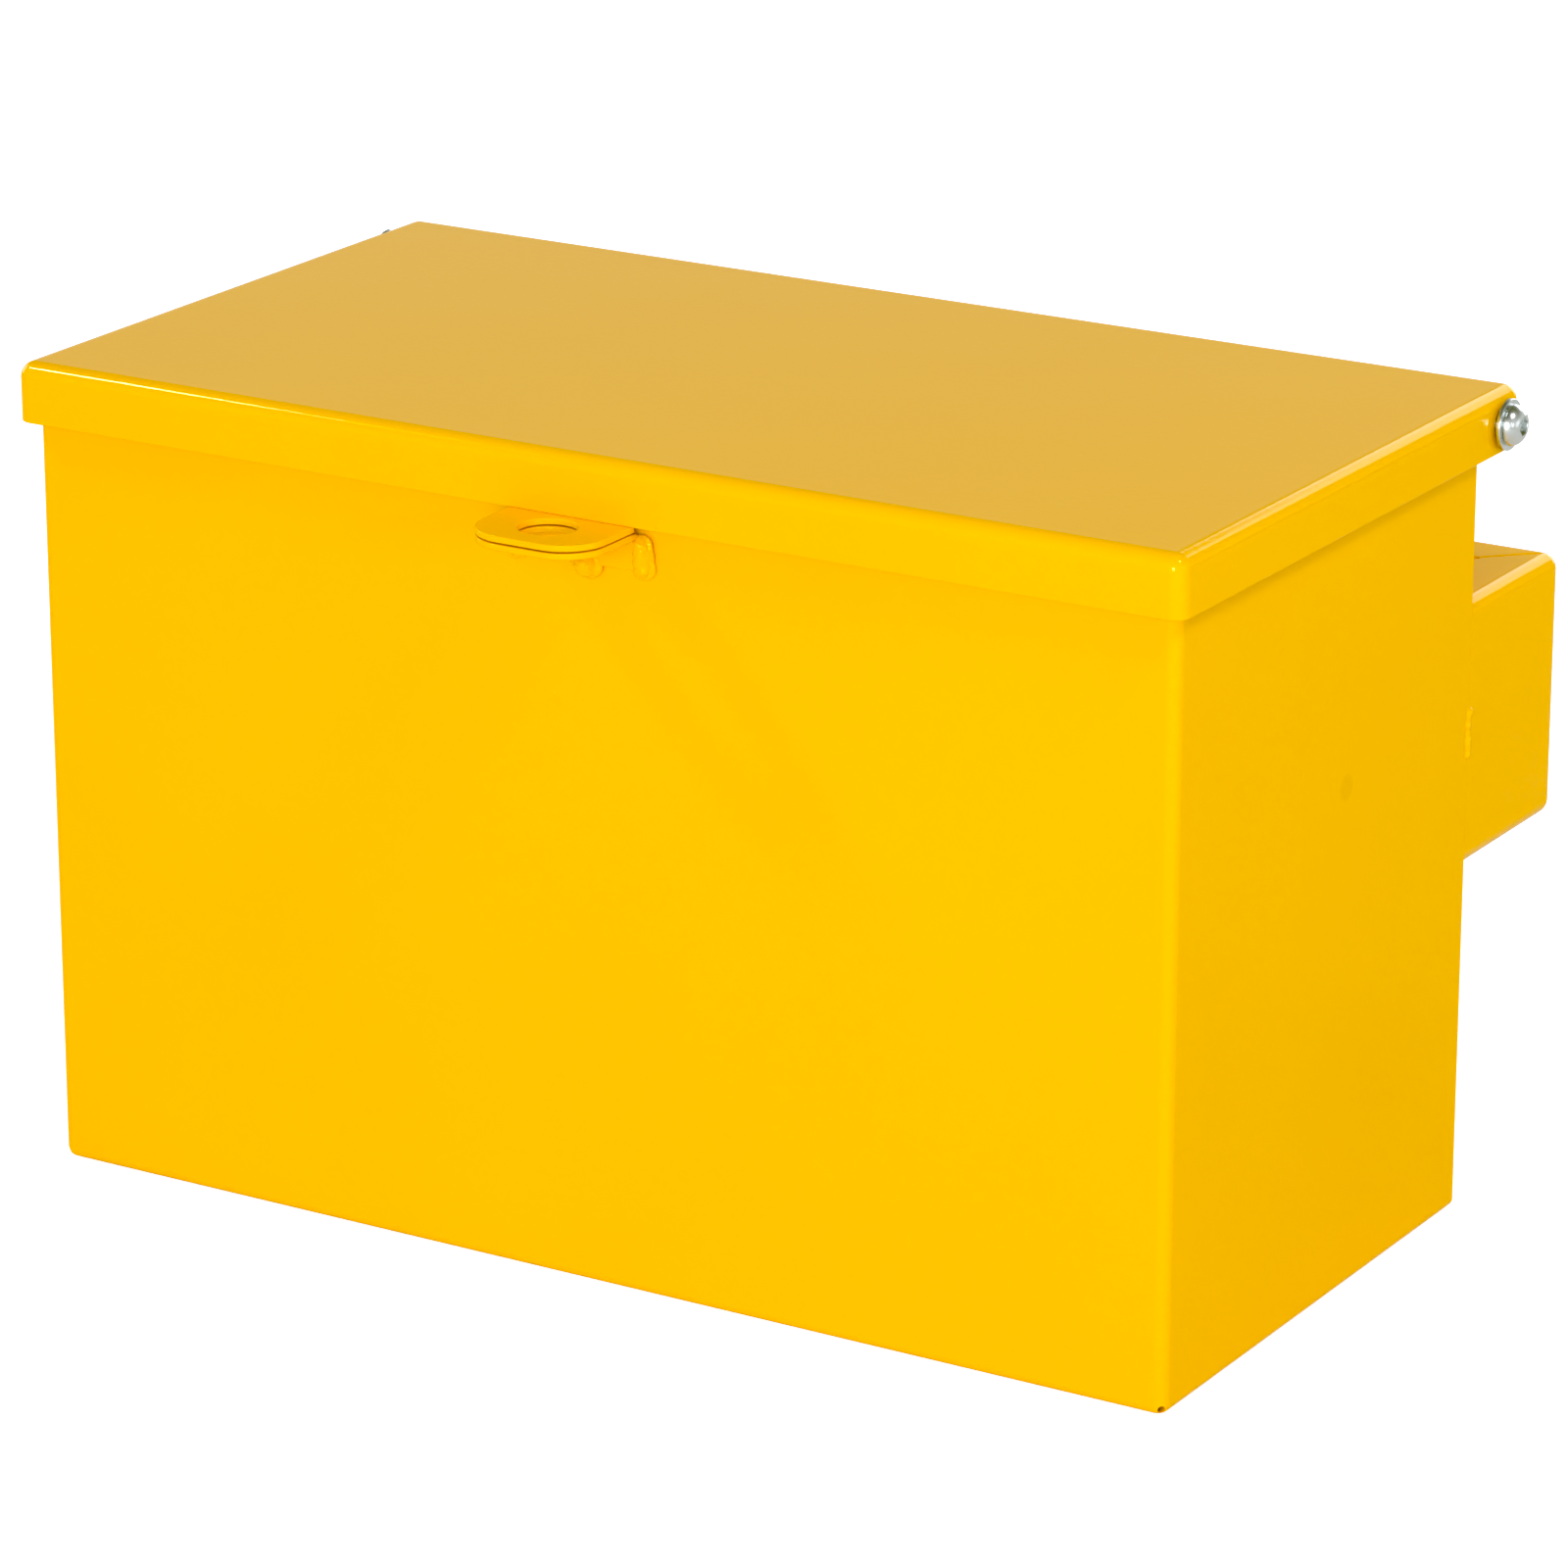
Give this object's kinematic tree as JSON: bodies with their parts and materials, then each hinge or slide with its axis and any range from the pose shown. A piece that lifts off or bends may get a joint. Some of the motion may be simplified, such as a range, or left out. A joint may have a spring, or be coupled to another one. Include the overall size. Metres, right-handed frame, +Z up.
{
  "type": "lockable storage box with hinged lid",
  "caption": "Folded sheet-steel box with an overhanging lid hinged at the rear, a padlock hasp at the front and a stand-off mounting bracket behind.",
  "frame": {"origin": "middle of the floor's underside", "axes": "+Z up, -Y the front with the hasp, +Y the rear with the mounting bracket, +X the right-hand side seen from the front"},
  "size_m": [0.422, 0.2894, 0.264],
  "materials": {
    "yellow_powder_coat": "glossy powder coat, fine orange peel",
    "zinc_plate": "bright zinc plate",
    "turned_steel": "turned, oiled",
    "nylon": "moulded"
  },
  "bodies": {
    "box": {"body_shell": "yellow_powder_coat", "rear_panel": "yellow_powder_coat", "rear_panel_welds": "yellow_powder_coat", "body_hasp_bracket": "yellow_powder_coat", "body_hasp_welds": "yellow_powder_coat", "mounting_bracket": "yellow_powder_coat", "mounting_bracket_welds": "yellow_powder_coat", "pivot_screw_right": "zinc_plate", "pivot_washer_right": "zinc_plate", "pivot_bush_right": "turned_steel", "ear_washer_right": "zinc_plate", "lock_nut_right": "zinc_plate", "lock_nut_insert_right": "nylon", "pivot_screw_left": "zinc_plate", "pivot_washer_left": "zinc_plate", "pivot_bush_left": "turned_steel", "ear_washer_left": "zinc_plate", "lock_nut_left": "zinc_plate", "lock_nut_insert_left": "nylon"},
    "lid": {"lid_shell": "yellow_powder_coat", "lid_hasp_plate": "yellow_powder_coat", "lid_hasp_welds": "yellow_powder_coat"}
  },
  "joints": [
    {"name": "lid_hinge", "type": "hinge", "parent": "box", "child": "lid", "pos_m": [0, 0.105, 0.254], "axis": [-1, 0, 0], "range_deg": [0, 110]}
  ]
}
